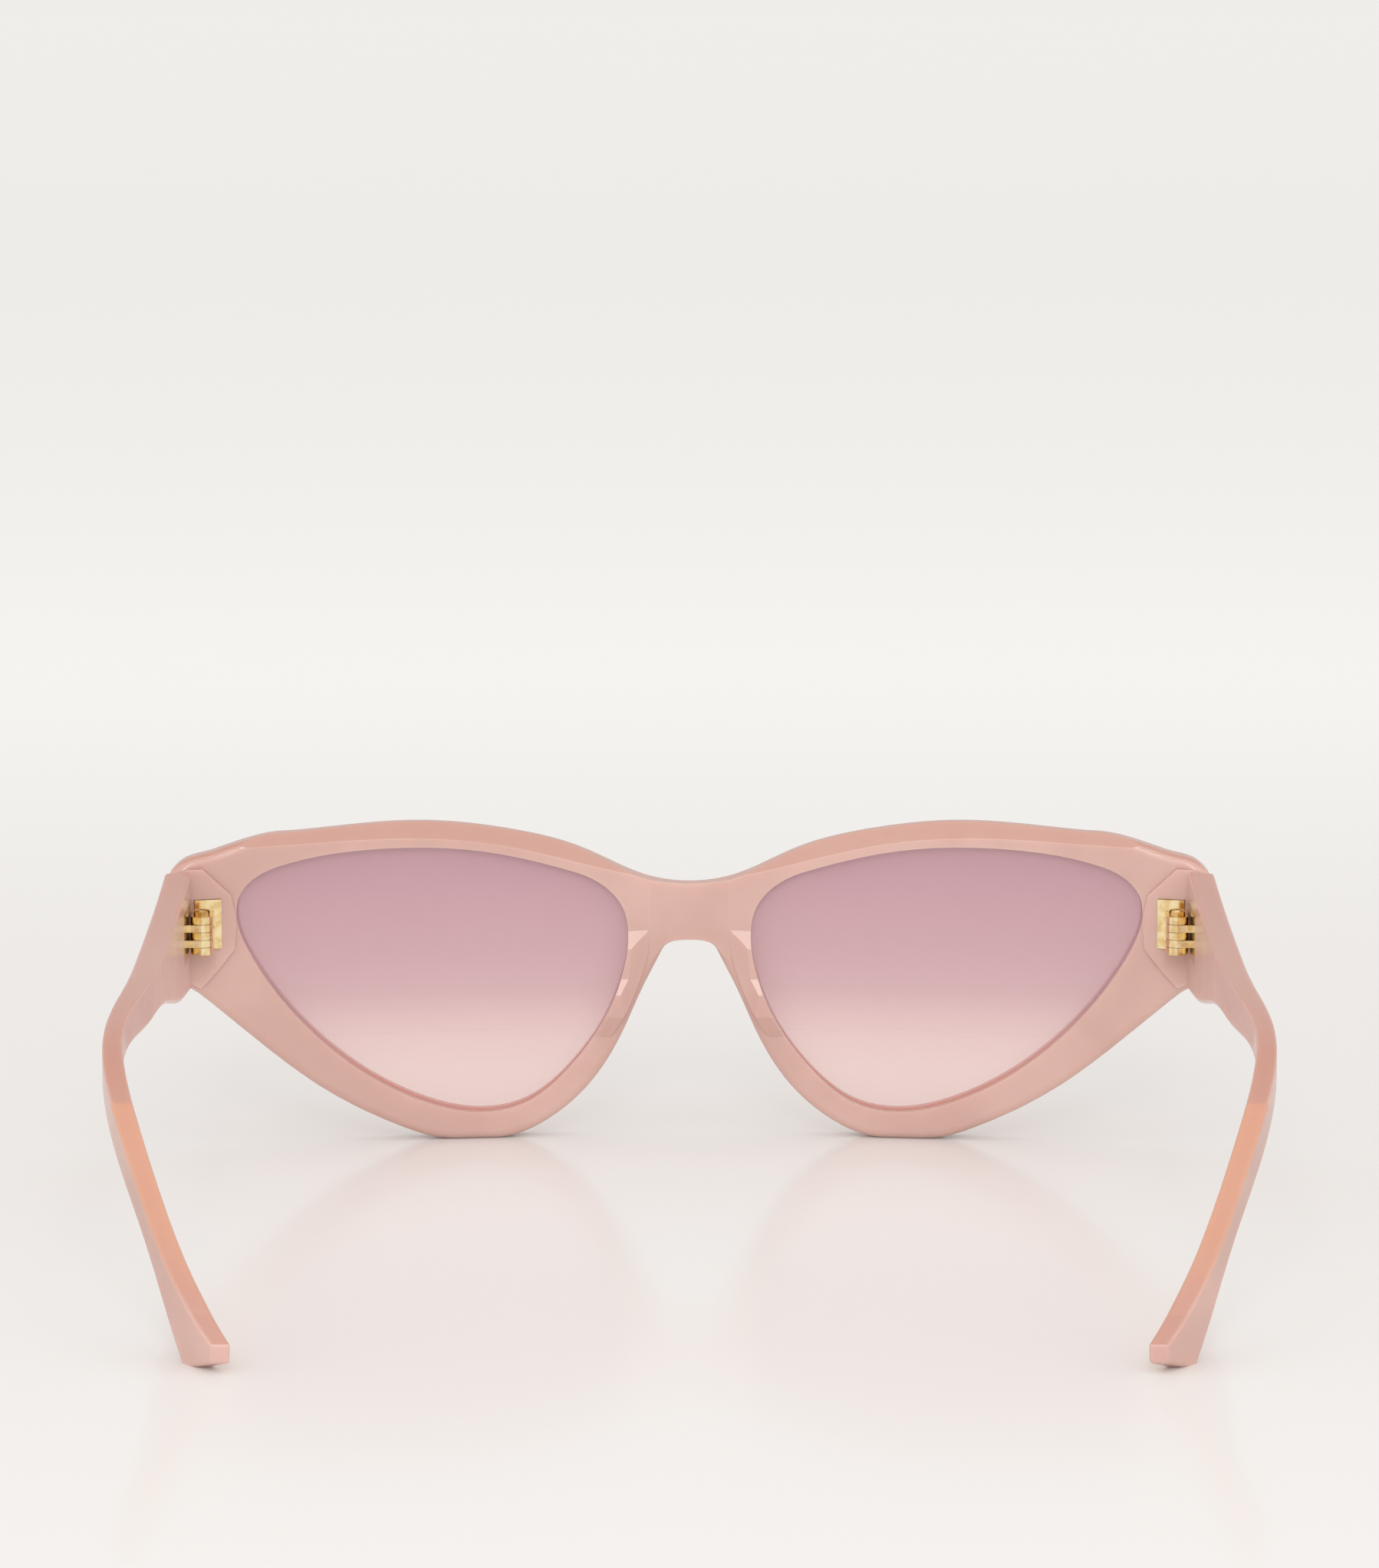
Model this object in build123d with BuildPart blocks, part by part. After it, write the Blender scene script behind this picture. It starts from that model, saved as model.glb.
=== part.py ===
"""Cat eye sunglasses with an acetate frame, gradient lenses and five-barrel hinges.

Row frame, in millimetres: +X is the wearer's right, +Y is forward and +Z is up. The origin is
at the centre of the bounding box, on the surface that the open sunglasses rest on.
"""

import os
from math import atan2, degrees, sqrt

from build123d import *

# ---- Overall layout -----------------------------------------------------------------------
OVERALL_LENGTH = 144.0  # foremost point of the front to the temple tips
FRONT_THICKNESS = 4.6
WRAP_RADIUS = 255.0  # back of the front, curved about a vertical axis
BLANK_HEIGHT = 60.0  # taller than any part of the frame
FACE_Y = OVERALL_LENGTH / 2
WRAP_Y = FACE_Y - FRONT_THICKNESS - WRAP_RADIUS
FACE_PLANE = Plane.XZ.offset(-FACE_Y)

# ---- Front, right half, as (x, z) ---------------------------------------------------------
BRIDGE_TOP = (0, 35.65)
BROW = [BRIDGE_TOP, (6.3, 36.6), (14.8, 40.4), (25.5, 43.3), (40, 44.65), (55, 43.7), (65.6, 41.5)]
END_CORNER = [(65.6, 41.5), (69.8, 40.3), (71.5, 38.6), (71.9, 36.0)]
END_EDGE = [(71.9, 36.0), (71.9, 26.8)]
END_HEEL = [(71.9, 26.8), (70.7, 23.8), (67.5, 21.6)]
LOWER_RIM = [(67.5, 21.6), (59.3, 14.35), (48.9, 6.4), (38.5, 1.25), (31.8, 0)]
NOSE_RIM = [(27.4, 0), (21.2, 1.65), (14.9, 6.4), (9.4, 14.6), (6.2, 21.7), (4.1, 25.8), (0, 27.7)]
BROW_RIDGE = [
    (-1, 36.52), (5.6, 36.72), (13.7, 38.35), (26.5, 41.41), (42, 42.59), (55, 42.13), (64, 41.92),
    (78, 42.84),
]
FACET_RUN = 15.0  # the facet cut starts this far behind the back of the bridge
OUTER_FILLET = 0.9
RIM_FILLET = 1.2
RIDGE_FILLET = 0.15

# ---- Lenses -------------------------------------------------------------------------------
LENS_OPENING = [
    (15.6, 37.4), (20, 38.7), (28.8, 40.6), (41, 41.3), (51, 40.5), (57.5, 38.9), (61.3, 36.5),
    (62.4, 33.2), (60.6, 27.1), (54.2, 17.9), (46, 10.4), (37, 5.5), (29.5, 3.8), (22.9, 5.0),
    (17, 9.6), (12.3, 15.9), (9.4, 22.9), (8.5, 28.4), (9.4, 32.7), (12.0, 35.6),
]
OUTLINE_STEPS = 36
GROOVE_DEPTH = 0.9
LENS_THICKNESS = 2.0
LENS_SETBACK = 1.3  # back of the rim to the back of the lens
LENS_CLEARANCE = 0.04

# ---- Bridge saddle and nose pads ----------------------------------------------------------
SADDLE_RADIUS = 16.0
SADDLE_DEPTH = 0.9
PAD_NASAL_SIDE = [(5.5, 29.4), (5.7, 26.5), (7.0, 22.0), (9.2, 17.1), (11.2, 13.7)]
PAD_LENS_SIDE_X = 13.5
PAD_PROFILE = [(0.0, 29.4), (1.3, 26.8), (1.5, 22.6), (2.3, 20.4), (2.0, 17.3), (0.0, 13.7)]
PAD_FILLET = 0.4

# ---- Endpiece boss ------------------------------------------------------------------------
BOSS_HEIGHT = 1.0
BOSS = [
    (71.6, 38.4), (68.9, 39.4), (66.9, 39.4), (63.1, 35.7), (62.3, 32.2), (62.6, 28.1),
    (65.3, 24.8), (67.2, 22.8), (70.0, 24.5), (71.6, 27.3),
]
BOSS_CORNER = 1.2
BOSS_RADIUS = WRAP_RADIUS - BOSS_HEIGHT

# ---- Temples, right one, as distance behind the face and height or x -----------------------
BUTT_GAP = 0.1  # temple end to endpiece boss
TEMPLE_TOP = [
    (11, 39.7), (26, 38.2), (45, 36.8), (70, 35.7), (98, 34.3), (111, 31.8), (121, 26.1),
    (136, 11.0), (141.2, 6.3),
]
TEMPLE_TIP = [(144.5, 3.4), (144.4, 1.2)]
TEMPLE_BOTTOM = [(139.3, -0.7), (131, 11.3), (121, 21.2), (112, 27.1), (103, 29.5), (74, 30.0)]
TEMPLE_BELLY = [(74, 30.0), (52, 27.6), (34, 24.5), (11, 22.4)]
TEMPLE_INSIDE_X = 68.4
TEMPLE_INSIDE = [(45, TEMPLE_INSIDE_X), (85, 69.2), (106, 70.1), (117, 68.3), (131, 62.4), (146, 52.6)]
TEMPLE_OUTSIDE = [(45, 71.9), (85, 72.2), (106, 72.6), (117, 71.1), (131, 65.3), (146, 55.3)]
TEMPLE_OUTSIDE_X = 71.9
TEMPLE_FILLET = 0.5

# ---- Core wire ----------------------------------------------------------------------------
CORE = [(34, 70.15), (60, 70.2), (92, 70.95), (108, 71.4), (117, 69.85), (131, 63.9), (136, 61.0)]
CORE_LINE = [(32, 30.4), (60, 32.0), (98, 31.9), (112, 29.4), (121, 23.5), (128, 16.7), (135, 9.2)]
CORE_HEIGHT = 1.6
CORE_THICKNESS = 1.1
CORE_CLEARANCE = 0.05

# ---- Hinge --------------------------------------------------------------------------------
HINGE_X = 66.7
HINGE_Y = FACE_Y - 18.7
HINGE_BASE_Z = 28.4
BARRELS = 5
BARREL_PITCH = 1.06
BARREL_GAP = 0.06
BARREL_RADIUS = 1.5
ARM_SETBACK = 0.45  # end of the front arms to the boss, behind the sloping plate
PLATE_TOP_Z = 35.2
PLATE_THICKNESS = 0.8
FRONT_PLATE_WIDTH = 3.7
FRONT_PLATE_PROUD = 0.5
TEMPLE_PLATE_LENGTH = 12.0
TOOTH_DEPTH = 1.5
TOOTH_HEIGHT = 0.9
TOOTH_LENGTH = 2.0
ANCHOR_CLEARANCE = 0.04
PIN_RADIUS = 0.7
PIN_CLEARANCE = 0.03
SCREW_HEAD_RADIUS = 1.15
SCREW_HEAD_HEIGHT = 0.9
SCREW_SLOT = 0.3


def wrap_sag(x):
    """How far the back of the front has curved back from the bridge at x."""
    return WRAP_RADIUS - sqrt(WRAP_RADIUS**2 - x**2)


def behind(stations):
    """Points given by distance behind the face, as points given by y."""
    return [(FACE_Y - distance, value) for distance, value in stations]


def in_plan(stations):
    """Points given by distance behind the face and x, as plan points (x, y)."""
    return [(x, FACE_Y - distance) for distance, x in stations]


def on_cylinder(radius):
    """A test for edges that lie on the vertical cylinder of this radius about the wrap axis."""

    def test(edge):
        points = [edge @ 0, edge @ 0.5, edge @ 1]
        return all(abs(sqrt(p.X**2 + (p.Y - WRAP_Y) ** 2) - radius) < 0.01 for p in points)

    return test


def off_centre(edge):
    """True for edges away from the mirror plane."""
    return (edge @ 0.5).X > 0.01


def on_lower_rim(edge):
    """True for edges of the rim below the bridge, up to the endpiece's outer edge."""
    return (edge @ 0.5).Z < BRIDGE_TOP[1] - 1 and (edge @ 0.5).X < END_EDGE[0][0] - 0.5


def on_brow(edge):
    """True for edges of the brow above the bridge."""
    return (edge @ 0.5).Z > BRIDGE_TOP[1] - 1


def wrap_shell(inner, outer):
    """A tall shell between two radii about the wrap axis."""
    with BuildPart() as shell:
        with BuildSketch(Plane.XY.offset(-BLANK_HEIGHT / 4)):
            with Locations((0, WRAP_Y)):
                Circle(outer)
                Circle(inner, mode=Mode.SUBTRACT)
        extrude(amount=1.5 * BLANK_HEIGHT)
    return shell.part


def beside(curve, distance, count, closed=False):
    """Evenly spaced points at a distance to the left of a curve, seen along its direction."""
    points = []
    for step in range(count):
        along = step / (count if closed else count - 1)
        tangent = curve % along
        points.append((curve @ along) + Vector(-tangent.Y, tangent.X) * distance)
    return points


def lens_blank(growth, inner, thickness):
    """The lens outline, grown all round, as a curved sheet from one radius outwards."""
    opening = Spline(*LENS_OPENING, periodic=True, mode=Mode.PRIVATE)
    with BuildPart() as blank:
        with BuildSketch(FACE_PLANE.offset(-5)):
            with BuildLine():
                Spline(*beside(opening, growth, OUTLINE_STEPS, closed=True), periodic=True)
            make_face()
        extrude(amount=30, clean=False)
        add(wrap_shell(inner, inner + thickness), mode=Mode.INTERSECT, clean=False)
    return blank.part


# ---- Endpiece boss ------------------------------------------------------------------------
with BuildPart() as boss:
    with BuildSketch(FACE_PLANE) as boss_outline:
        with BuildLine():
            Polyline(*BOSS, close=True)
        make_face()
        fillet(boss_outline.vertices().group_by(Axis.X)[0:3], BOSS_CORNER)
    extrude(amount=FRONT_THICKNESS + 20)
    add(wrap_shell(BOSS_RADIUS, WRAP_RADIUS + 0.5), mode=Mode.INTERSECT)

# ---- Nose pad -----------------------------------------------------------------------------
with BuildPart() as nose_pad:
    with BuildSketch(FACE_PLANE):
        with BuildLine():
            Spline(*PAD_NASAL_SIDE)
            Polyline(
                PAD_NASAL_SIDE[-1],
                (PAD_LENS_SIDE_X, PAD_NASAL_SIDE[-1][1]),
                (PAD_LENS_SIDE_X, PAD_NASAL_SIDE[0][1]),
                PAD_NASAL_SIDE[0],
            )
        make_face()
    extrude(amount=FRONT_THICKNESS + 6)
    with BuildSketch(Plane.YZ):
        with BuildLine():
            rim_back = FACE_Y - FRONT_THICKNESS
            pad_back = [(rim_back - proud, z) for proud, z in PAD_PROFILE]
            Polyline(*pad_back, (rim_back + 1, pad_back[-1][1]), (rim_back + 1, pad_back[0][1]), close=True)
        make_face()
    extrude(amount=20, mode=Mode.INTERSECT)
    pad_edges = nose_pad.edges().filter_by(lambda edge: (edge @ 0.5).Y < rim_back - 0.5)
    fillet(pad_edges.filter_by(lambda edge: (edge @ 0.5).X < PAD_LENS_SIDE_X - 0.1), PAD_FILLET)


# ---- Hinge, right one ---------------------------------------------------------------------
HINGE_LEAN = -degrees(atan2(HINGE_X, sqrt(BOSS_RADIUS**2 - HINGE_X**2)))
BOSS_Y = WRAP_Y + sqrt(BOSS_RADIUS**2 - HINGE_X**2)
BARREL_HEIGHT = BARREL_PITCH - BARREL_GAP
PLATE_HEIGHT = PLATE_TOP_Z - HINGE_BASE_Z
STACK_TOP_Z = HINGE_BASE_Z + BARRELS * BARREL_PITCH - BARREL_GAP
TEMPLE_PLATE_X = TEMPLE_INSIDE_X + PLATE_THICKNESS / 2
TEMPLE_PLATE_Y = BOSS_Y - 1.6 - TEMPLE_PLATE_LENGTH / 2


def anchor(plate_location, length, tooth_location, clearance):
    """A hinge plate with teeth on its buried side, grown by a clearance to cut its pocket."""
    grown = 2 * clearance
    with BuildPart() as body:
        with BuildSketch(Plane.XY.offset(HINGE_BASE_Z - clearance)):
            with Locations(plate_location):
                Rectangle(length + grown, PLATE_THICKNESS + grown)
        extrude(amount=PLATE_HEIGHT + grown)
        for tooth in range(3):
            tooth_z = HINGE_BASE_Z + (tooth + 0.5) * PLATE_HEIGHT / 3 - TOOTH_HEIGHT / 2
            with BuildSketch(Plane.XY.offset(tooth_z - clearance)):
                with Locations(tooth_location):
                    Rectangle(TOOTH_LENGTH + grown, TOOTH_DEPTH + grown)
            extrude(amount=TOOTH_HEIGHT + grown)
    return body.part


def front_anchor(clearance):
    """The front leaf's plate, tangent to the boss, with its teeth in the endpiece."""
    plate = Location((HINGE_X, BOSS_Y, 0), (0, 0, HINGE_LEAN)) * Location(
        (-0.5, PLATE_THICKNESS / 2 - FRONT_PLATE_PROUD, 0)
    )
    tooth = plate * Location((0, (PLATE_THICKNESS + TOOTH_DEPTH) / 2 - 0.05, 0))
    return anchor(plate, FRONT_PLATE_WIDTH, tooth, clearance)


def temple_anchor(clearance):
    """The temple leaf's plate, flush with the inner face, with its teeth in the temple."""
    plate = Location((TEMPLE_PLATE_X, TEMPLE_PLATE_Y, 0), (0, 0, -90))
    tooth = plate * Location((-2, (PLATE_THICKNESS + TOOTH_DEPTH) / 2 - 0.05, 0))
    return anchor(plate, TEMPLE_PLATE_LENGTH, tooth, clearance)


def barrels(levels, arm_angle, arm_length):
    """Barrels about the pivot at some levels of the stack, each with an arm to its plate."""
    arm = Location((HINGE_X, HINGE_Y, 0), (0, 0, arm_angle)) * Location((arm_length / 2, 0, 0))
    with BuildPart() as knuckles:
        for level in levels:
            with BuildSketch(Plane.XY.offset(HINGE_BASE_Z + level * BARREL_PITCH)):
                with Locations((HINGE_X, HINGE_Y)):
                    Circle(BARREL_RADIUS)
                with Locations(arm):
                    Rectangle(arm_length, 2 * BARREL_RADIUS)
                with Locations((HINGE_X, HINGE_Y)):
                    Circle(PIN_RADIUS + PIN_CLEARANCE, mode=Mode.SUBTRACT)
            extrude(amount=BARREL_HEIGHT)
    return knuckles.part


with BuildPart() as front_hinge_leaf:
    add(front_anchor(0))
    add(barrels((0, 2, 4), 90, BOSS_Y - HINGE_Y - ARM_SETBACK))

with BuildPart() as temple_hinge_leaf:
    add(temple_anchor(0))
    add(barrels((1, 3), 0, TEMPLE_PLATE_X - HINGE_X))

with BuildPart() as hinge_screw:
    with BuildSketch(Plane.XY.offset(HINGE_BASE_Z)):
        with Locations((HINGE_X, HINGE_Y)):
            Circle(PIN_RADIUS)
    extrude(amount=STACK_TOP_Z - HINGE_BASE_Z)
    with BuildSketch(Plane.XY.offset(STACK_TOP_Z)):
        with Locations((HINGE_X, HINGE_Y)):
            Circle(SCREW_HEAD_RADIUS)
    extrude(amount=SCREW_HEAD_HEIGHT)
    chamfer(hinge_screw.faces().sort_by(Axis.Z)[-1].edges(), 0.2)
    with BuildSketch(Plane.XY.offset(STACK_TOP_Z + SCREW_HEAD_HEIGHT)):
        with Locations(Location((HINGE_X, HINGE_Y, 0), (0, 0, 30))):
            Rectangle(3 * SCREW_HEAD_RADIUS, SCREW_SLOT)
    extrude(amount=-SCREW_HEAD_HEIGHT / 2, mode=Mode.SUBTRACT)

# ---- Front frame, right half --------------------------------------------------------------
with BuildPart() as front_half:
    with BuildSketch(FACE_PLANE):
        with BuildLine():
            Spline(*BROW, tangents=[(1, 0), (3, -1)])
            Spline(*END_CORNER, tangents=[(3, -1), (0, -1)])
            Line(*END_EDGE)
            Spline(*END_HEEL, tangents=[(0, -1), (-1, -0.85)])
            Spline(*LOWER_RIM, tangents=[(-1, -0.85), (-1, 0)])
            Line(LOWER_RIM[-1], NOSE_RIM[0])
            Spline(*NOSE_RIM, tangents=[(-1, 0), (-1, 0)])
            Line(NOSE_RIM[-1], BRIDGE_TOP)
        make_face()
    extrude(amount=FRONT_THICKNESS + 20, clean=False)
    add(wrap_shell(WRAP_RADIUS, WRAP_RADIUS + FRONT_THICKNESS), mode=Mode.INTERSECT, clean=False)

    # The brow facet is a ruled cut that climbs forward at 45 degrees from the ridge.
    with BuildSketch(FACE_PLANE.offset(FRONT_THICKNESS + FACET_RUN), mode=Mode.PRIVATE) as facet:
        with BuildLine():
            ridge = [(x, z + wrap_sag(x) - FACET_RUN) for x, z in BROW_RIDGE]
            Spline(*ridge, tangents=[(1, 0), (1, 0.35)])
            Polyline(ridge[-1], (ridge[-1][0], 80), (-1, 80), ridge[0])
        make_face()
    extrude(facet.sketch, amount=40, dir=(0, 1, 1), mode=Mode.SUBTRACT, clean=False)
    front_edges = front_half.edges().filter_by(on_cylinder(WRAP_RADIUS + FRONT_THICKNESS))
    fillet(front_edges.filter_by(off_centre), OUTER_FILLET)
    back_edges = front_half.edges().filter_by(on_cylinder(WRAP_RADIUS)).filter_by(off_centre)
    fillet(back_edges.filter_by(on_lower_rim), RIM_FILLET)
    back_edges = front_half.edges().filter_by(on_cylinder(WRAP_RADIUS)).filter_by(off_centre)
    fillet(back_edges.filter_by(on_brow), RIDGE_FILLET)

    add(boss.part)
    add(nose_pad.part)
    with BuildSketch(Plane.XY):
        with Locations((0, FACE_Y - FRONT_THICKNESS - SADDLE_RADIUS + SADDLE_DEPTH)):
            Circle(SADDLE_RADIUS)
    extrude(amount=BLANK_HEIGHT, mode=Mode.SUBTRACT)
    add(lens_blank(0, WRAP_RADIUS - 10, FRONT_THICKNESS + 20), mode=Mode.SUBTRACT)
    add(lens_blank(GROOVE_DEPTH, WRAP_RADIUS + LENS_SETBACK, LENS_THICKNESS), mode=Mode.SUBTRACT)
    add(front_anchor(ANCHOR_CLEARANCE), mode=Mode.SUBTRACT)

with BuildPart() as front_frame:
    add(front_half.part)
    mirror(about=Plane.YZ)

# ---- Lens, right one ----------------------------------------------------------------------
lens = lens_blank(
    GROOVE_DEPTH - LENS_CLEARANCE,
    WRAP_RADIUS + LENS_SETBACK + LENS_CLEARANCE,
    LENS_THICKNESS - 2 * LENS_CLEARANCE,
)

# ---- Core wire, right one -----------------------------------------------------------------
def ribbon(points, half_width):
    """A closed outline that runs at half a width on both sides of a smooth line."""
    middle = Spline(*points, mode=Mode.PRIVATE)
    left = beside(middle, half_width, len(points) * 2)
    right = beside(middle, -half_width, len(points) * 2)
    Spline(*left)
    Line(left[-1], right[-1])
    Spline(*right[::-1])
    Line(right[0], left[0])


def core_wire(clearance):
    """The flat wire down the middle of the temple, grown by a clearance to cut its channel."""
    with BuildPart() as wire:
        with BuildSketch(Plane.YZ):
            with BuildLine():
                ribbon(behind(CORE_LINE), CORE_HEIGHT / 2 + clearance)
            make_face()
        extrude(amount=80, clean=False)
        with BuildSketch(Plane.XY):
            with BuildLine():
                ribbon(in_plan(CORE), CORE_THICKNESS / 2 + clearance)
            make_face()
        extrude(amount=BLANK_HEIGHT, mode=Mode.INTERSECT, clean=False)
    return wire.part


# ---- Temple, right one --------------------------------------------------------------------
with BuildPart() as temple:
    with BuildSketch(Plane.YZ):
        with BuildLine():
            Spline(*behind(TEMPLE_TOP), tangents=[(-1, -0.1), (-1, -1)])
            Polyline(*behind([TEMPLE_TOP[-1], *TEMPLE_TIP, TEMPLE_BOTTOM[0]]))
            Spline(*behind(TEMPLE_BOTTOM), tangents=[(0.7, 1), (1, 0)])
            Spline(*behind(TEMPLE_BELLY), tangents=[(1, 0), (1, -0.12)])
            Line(*behind([TEMPLE_BELLY[-1], TEMPLE_TOP[0]]))
        make_face()
    extrude(amount=80, clean=False)
    with BuildSketch(Plane.XY.offset(-5)):
        with BuildLine():
            start = (TEMPLE_INSIDE_X, FACE_Y - 5)
            inside = in_plan(TEMPLE_INSIDE)
            outside = in_plan(TEMPLE_OUTSIDE)
            Line(start, inside[0])
            Spline(*inside, tangents=[(0, -1), (-1, -1)])
            Line(inside[-1], outside[-1])
            Spline(*outside[::-1], tangents=[(1, 1), (0, 1)])
            Polyline(outside[0], (TEMPLE_OUTSIDE_X, FACE_Y - 5), start)
        make_face()
    extrude(amount=BLANK_HEIGHT, mode=Mode.INTERSECT, clean=False)
    add(wrap_shell(1, BOSS_RADIUS - BUTT_GAP), mode=Mode.INTERSECT, clean=False)

    fillet(temple.edges(), TEMPLE_FILLET)
    split(bisect_by=Plane.XY, keep=Keep.TOP)
    add(core_wire(CORE_CLEARANCE), mode=Mode.SUBTRACT)
    add(temple_anchor(ANCHOR_CLEARANCE), mode=Mode.SUBTRACT)

# ---- Named pieces -------------------------------------------------------------------------
os.makedirs("parts", exist_ok=True)
front_frame.part.label = "front_frame"
export_step(front_frame.part, "parts/front_frame.step")
pairs = {
    "lens": lens,
    "temple": temple.part,
    "core_wire": core_wire(0),
    "front_hinge_leaf": front_hinge_leaf.part,
    "temple_hinge_leaf": temple_hinge_leaf.part,
    "hinge_screw": hinge_screw.part,
}
for name, right_piece in pairs.items():
    left_piece = mirror(right_piece, about=Plane.YZ)
    for side, piece in (("right", right_piece), ("left", left_piece)):
        piece.label = f"{side}_{name}"
        export_step(piece, f"parts/{side}_{name}.step")
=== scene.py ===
"""Looks of the cat eye sunglasses: milky rose acetate, gradient lenses and polished hinges."""

from math import radians

import bpy
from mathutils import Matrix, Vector


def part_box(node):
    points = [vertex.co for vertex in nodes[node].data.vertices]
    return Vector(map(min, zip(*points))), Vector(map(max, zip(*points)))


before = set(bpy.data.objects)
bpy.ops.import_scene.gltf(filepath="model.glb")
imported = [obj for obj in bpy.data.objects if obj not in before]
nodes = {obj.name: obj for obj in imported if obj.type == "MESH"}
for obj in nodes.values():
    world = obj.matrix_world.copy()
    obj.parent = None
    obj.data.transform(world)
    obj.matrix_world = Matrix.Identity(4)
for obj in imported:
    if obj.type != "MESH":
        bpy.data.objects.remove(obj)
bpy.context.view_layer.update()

lens_low, lens_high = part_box("right_lens")

# ---- Sizes, in metres, and settings -------------------------------------------------------
# The camera stands behind the temple tips, a little above them, and looks slightly down.
CAMERA_PLACE = (0, -0.834, 0.1845)
CAMERA_DOWN = 8.5
CAMERA_LENS = 151.1

FLOOR_SIZE = 12
# Where the painted light on the floor begins to brighten it and where it is brightest, going
# away from the camera.
PAPER_NEAR = 0.05
PAPER_FAR = 0.7

# Where the painted glow of the core wire starts behind the bend, and where it dies towards the
# tip.
GLOW_START = (-0.0465, -0.0475)
GLOW_END = (-0.058, -0.072)

# Strength of the surrounding light behind the camera and beyond the sunglasses.
WORLD_NEAR = 1.04
WORLD_FAR = 0.80

scene = bpy.context.scene

# ---- Camera -------------------------------------------------------------------------------
camera_data = bpy.data.cameras.new("camera")
camera_data.lens = CAMERA_LENS
camera_data.sensor_width = 36
camera_data.clip_start = 0.05
camera_data.clip_end = 10
camera = bpy.data.objects.new("camera", camera_data)
camera.location = CAMERA_PLACE
camera.rotation_euler = (radians(90 - CAMERA_DOWN), 0, 0)
scene.collection.objects.link(camera)
scene.camera = camera


# ---- Materials ----------------------------------------------------------------------------
def linear(red, green, blue):
    """A colour given in the 0 to 255 of a colour picker, as the shader's linear colour."""
    channels = [value / 255 for value in (red, green, blue)]
    return [c / 12.92 if c <= 0.04045 else ((c + 0.055) / 1.055) ** 2.4 for c in channels] + [1]


class Value:
    """A socket that takes part in sums, so that shader maths reads as sums."""

    def __init__(self, material, socket):
        self.material = material
        self.socket = socket

    def _math(self, operation, *values):
        node = self.material.node("ShaderNodeMath", {"operation": operation}, values)
        return Value(self.material, node.outputs[0])

    def __add__(self, other):
        return self._math("ADD", self, other)

    def __sub__(self, other):
        return self._math("SUBTRACT", self, other)

    def __rsub__(self, other):
        return self._math("SUBTRACT", other, self)

    def __mul__(self, other):
        return self._math("MULTIPLY", self, other)

    def __truediv__(self, other):
        return self._math("DIVIDE", self, other)

    __radd__ = __add__

    def fade(self, start, end):
        """0 at the start value, 1 at the end value, eased between them."""
        node = self.material.node(
            "ShaderNodeMapRange",
            {"interpolation_type": "SMOOTHERSTEP"},
            {"Value": self, "From Min": start, "From Max": end, "To Min": 0.0, "To Max": 1.0},
        )
        return Value(self.material, node.outputs[0])


class Material:
    """A node material made from Python expressions."""

    def __init__(self, name):
        self.data = bpy.data.materials.new(name)
        self.data.use_nodes = True
        self.tree = self.data.node_tree
        self.tree.nodes.clear()
        place = self.node("ShaderNodeTexCoord").outputs["Object"]
        parts = self.node("ShaderNodeSeparateXYZ", values=[place])
        self.place = place
        self.x, self.y, self.z = [Value(self, output) for output in parts.outputs]

    def node(self, kind, settings=None, values=()):
        """Adds a node; its settings come first, then the values or links of its sockets."""
        node = self.tree.nodes.new(kind)
        for key, setting in (settings or {}).items():
            if key == "stops":
                ramp = node.color_ramp
                while len(ramp.elements) < len(setting):
                    ramp.elements.new(0.5)
                for element, (position, colour) in zip(ramp.elements, setting):
                    element.position = position
                    element.color = colour
            else:
                setattr(node, key, setting)
        pairs = values.items() if isinstance(values, dict) else enumerate(values)
        for key, value in pairs:
            if isinstance(value, Value):
                value = value.socket
            if isinstance(value, bpy.types.NodeSocket):
                self.tree.links.new(value, node.inputs[key])
            else:
                node.inputs[key].default_value = value
        return node

    def noise(self, scale, detail=2.0, stretch=(1, 1, 1)):
        """Cloudy variation, from about 0.3 to 0.7, over the object's own coordinates."""
        mapped = self.node("ShaderNodeMapping", values={"Vector": self.place, "Scale": stretch})
        noise = self.node(
            "ShaderNodeTexNoise",
            values={"Vector": mapped.outputs[0], "Scale": scale, "Detail": detail},
        )
        return Value(self, noise.outputs[0])

    def facing(self):
        """How far the surface faces up, from -1 to 1."""
        normal = self.node("ShaderNodeNewGeometry").outputs["True Normal"]
        return Value(self, self.node("ShaderNodeSeparateXYZ", values=[normal]).outputs["Z"])

    def blend(self, factor, first, second):
        """A colour between two colours."""
        inputs = {0: factor, 6: first, 7: second}
        return self.node("ShaderNodeMix", {"data_type": "RGBA"}, inputs).outputs[2]

    def finish(self, shader):
        output = self.node("ShaderNodeOutputMaterial")
        self.tree.links.new(shader, output.inputs["Surface"])
        return self.data


def bump(material, height, strength, distance):
    """A normal from a height, with its strength fixed on the node."""
    node = material.node(
        "ShaderNodeBump", values={"Strength": strength, "Distance": distance, "Height": height}
    )
    return node.outputs[0]


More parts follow.
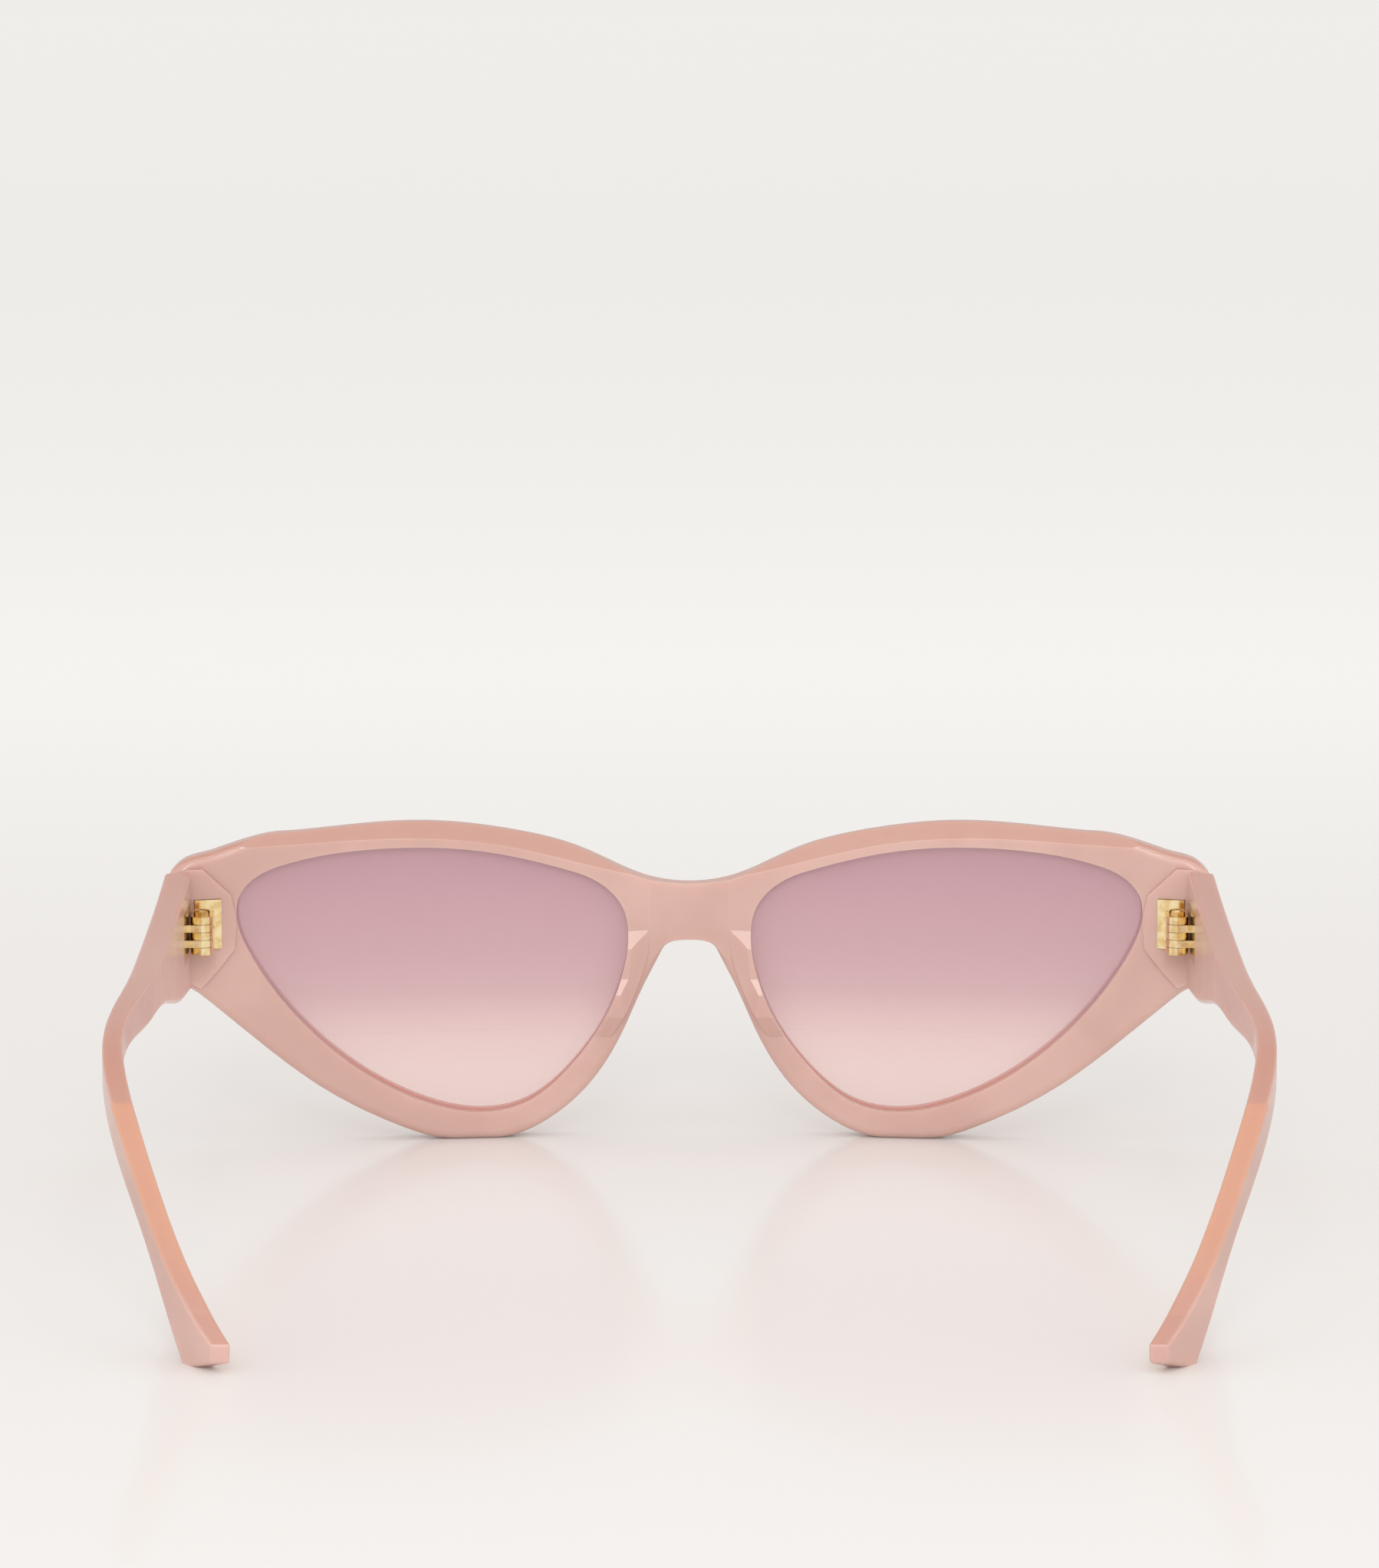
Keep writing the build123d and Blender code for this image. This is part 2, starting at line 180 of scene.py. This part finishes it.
def acetate(name, shine, painted_glow=None):
    """Milky rose acetate: cloud in the colour, painted shade where it faces up, an optional
    painted glow, and a thin polish.
    """
    material = Material(name)
    cloud = material.noise(60.0, 3.0, (1, 0.4, 1)).fade(0.35, 0.65)
    speck = material.noise(900.0, 2.0)
    colour = material.blend(cloud, linear(218, 182, 172), linear(210, 173, 163))
    # Painted shade: the colour turns a darker, browner rose where the surface faces up, as if
    # less light fell from above. The same mask also thins the coat.
    upward = material.facing().fade(0.35, 0.95)
    colour = material.blend(upward * 0.85, colour, linear(188, 138, 122))
    # Painted glow: where the core wire lies in the temple, the colour turns orange on the faces
    # that face up, standing in for the wire seen through the acetate.
    if painted_glow:
        colour = material.blend(painted_glow(material), colour, linear(212, 158, 132))
    roughness = material.noise(250.0) * 0.10 + 0.17
    shader = material.node(
        "ShaderNodeBsdfPrincipled",
        values={
            "Base Color": colour,
            "Roughness": roughness,
            "IOR": 1.49,
            "Specular IOR Level": shine,
            "Subsurface Weight": 0.35,
            "Subsurface Radius": (0.003, 0.0018, 0.0014),
            "Subsurface Scale": 1.0,
            "Coat Weight": 0.15 - upward * 0.12,
            "Coat Roughness": 0.05,
            "Normal": bump(material, speck, 0.012, 0.0002),
        },
    )
    return material.finish(shader.outputs[0])


def painted_core_glow(material):
    """The core wire is really inside the temple; its look through the acetate, from the bend to
    the tip, is a painted glow on the faces that face up.
    """
    along = material.y.fade(*GLOW_START) * (1 - material.y.fade(*GLOW_END))
    return along * material.facing().fade(0.15, 0.4) * 0.75


def gradient_lens(name):
    """A tinted lens that goes from mauve at the brow to clear rose at the cheek."""
    material = Material(name)
    low, high = lens_low.z, lens_high.z
    height = (material.z - low) / (high - low)
    cloud = material.noise(40.0) * 0.04 - 0.02
    tint = material.node(
        "ShaderNodeValToRGB",
        {
            "stops": [
                (0.0, linear(252, 234, 230)),
                (0.16, linear(247, 222, 219)),
                (0.45, linear(214, 178, 185)),
                (0.9, linear(196, 152, 166)),
            ]
        },
        [height + cloud],
    )
    clear = material.node("ShaderNodeBsdfTransparent", values={"Color": linear(255, 245, 244)})
    body = material.node(
        "ShaderNodeBsdfPrincipled",
        values={
            "Base Color": tint.outputs[0],
            "Roughness": material.noise(120.0) * 0.04 + 0.30,
            "IOR": 1.5,
            "Specular IOR Level": 0.2,
        },
    )
    strength = 0.12 + height.fade(0.0, 0.66) * 0.46
    shaders = [strength, clear.outputs[0], body.outputs[0]]
    mixed = material.node("ShaderNodeMixShader", values=shaders)
    return material.finish(mixed.outputs[0])


def polished_metal(name, colour, worn):
    """Polished plated metal with fine drawing lines and slightly darker patches at random."""
    material = Material(name)
    grain = material.noise(3000.0, 2.0, (1, 1, 6))
    tone = material.blend(material.noise(800.0).fade(0.35, 0.7), colour, worn)
    shader = material.node(
        "ShaderNodeBsdfPrincipled",
        values={
            "Base Color": tone,
            "Metallic": 1.0,
            "Roughness": grain * 0.10 + 0.08,
            "Normal": bump(material, grain, 0.04, 0.00005),
        },
    )
    return material.finish(shader.outputs[0])


def backdrop(name):
    """The pale seamless floor."""
    material = Material(name)
    # Painted light and shade: the floor colour is darker from the camera up to the sunglasses
    # and brightens going away beyond them.
    far = material.y.fade(PAPER_NEAR, PAPER_FAR) + material.noise(0.7) * 0.04
    tone = material.blend(far, linear(234, 232, 230), linear(255, 255, 253))
    shader = material.node(
        "ShaderNodeBsdfPrincipled",
        values={
            "Base Color": tone,
            "Roughness": material.noise(2.0) * 0.01 + 0.135,
            "Specular IOR Level": 0.10,
        },
    )
    return material.finish(shader.outputs[0])


front_acetate = acetate("rose_acetate_front", 0.35)
temple_acetate = acetate("rose_acetate_temple", 0.15, painted_core_glow)
lens_tint = gradient_lens("gradient_lens")
hinge_gold = polished_metal("hinge_gold", linear(246, 226, 178), linear(228, 196, 138))
screw_gold = polished_metal("screw_gold", linear(226, 188, 124), linear(190, 146, 84))
core_metal = polished_metal("core_metal", linear(222, 188, 140), linear(198, 160, 112))

finishes = {
    "front_frame": front_acetate,
    "lens": lens_tint,
    "temple": temple_acetate,
    "core_wire": core_metal,
    "front_hinge_leaf": hinge_gold,
    "temple_hinge_leaf": hinge_gold,
    "hinge_screw": screw_gold,
}
for name, node in nodes.items():
    piece = name.removeprefix("left_").removeprefix("right_")
    node.data.materials.clear()
    node.data.materials.append(finishes[piece])

# ---- Floor and light ----------------------------------------------------------------------
for picked in bpy.context.selected_objects:
    picked.select_set(False)
bpy.ops.mesh.primitive_plane_add(size=FLOOR_SIZE, location=(0, 0, 0))
floor = bpy.context.object
floor.name = "floor"
floor.data.materials.append(backdrop("seamless_paper"))

world = bpy.data.worlds.new("studio")
world.use_nodes = True
sky = world.node_tree.nodes["Background"]
sky.inputs["Color"].default_value = linear(250, 248, 246)
direction = world.node_tree.nodes.new("ShaderNodeTexCoord")
split = world.node_tree.nodes.new("ShaderNodeSeparateXYZ")
dimmer = world.node_tree.nodes.new("ShaderNodeMapRange")
dimmer.inputs["From Min"].default_value = -0.3
dimmer.inputs["From Max"].default_value = 0.9
dimmer.inputs["To Min"].default_value = WORLD_NEAR
dimmer.inputs["To Max"].default_value = WORLD_FAR
world.node_tree.links.new(direction.outputs["Generated"], split.inputs[0])
world.node_tree.links.new(split.outputs["Y"], dimmer.inputs["Value"])
world.node_tree.links.new(dimmer.outputs[0], sky.inputs["Strength"])
scene.world = world


def softbox(name, size, place, aim, power, shadow=True):
    """A square soft light that points at a place."""
    data = bpy.data.lights.new(name, "AREA")
    data.use_shadow = shadow
    data.size = size
    data.energy = power
    lamp = bpy.data.objects.new(name, data)
    lamp.location = place
    lamp.rotation_euler = (Vector(aim) - Vector(place)).to_track_quat("-Z", "Y").to_euler()
    scene.collection.objects.link(lamp)


softbox("top_light", 0.9, (0.0, 0.1, 1.3), (0, 0, 0), 0.8)
softbox("camera_fill", 0.4, (0.0, -1.15, 0.66), (0, 0, 0.02), 3.0)
# The glint light is small, for highlights on the polished edges, and throws no shadow.
softbox("glint_light", 0.25, (0.0, -0.85, 0.82), (0, 0, 0.02), 1.2, shadow=False)

scene.view_settings.view_transform = "Standard"
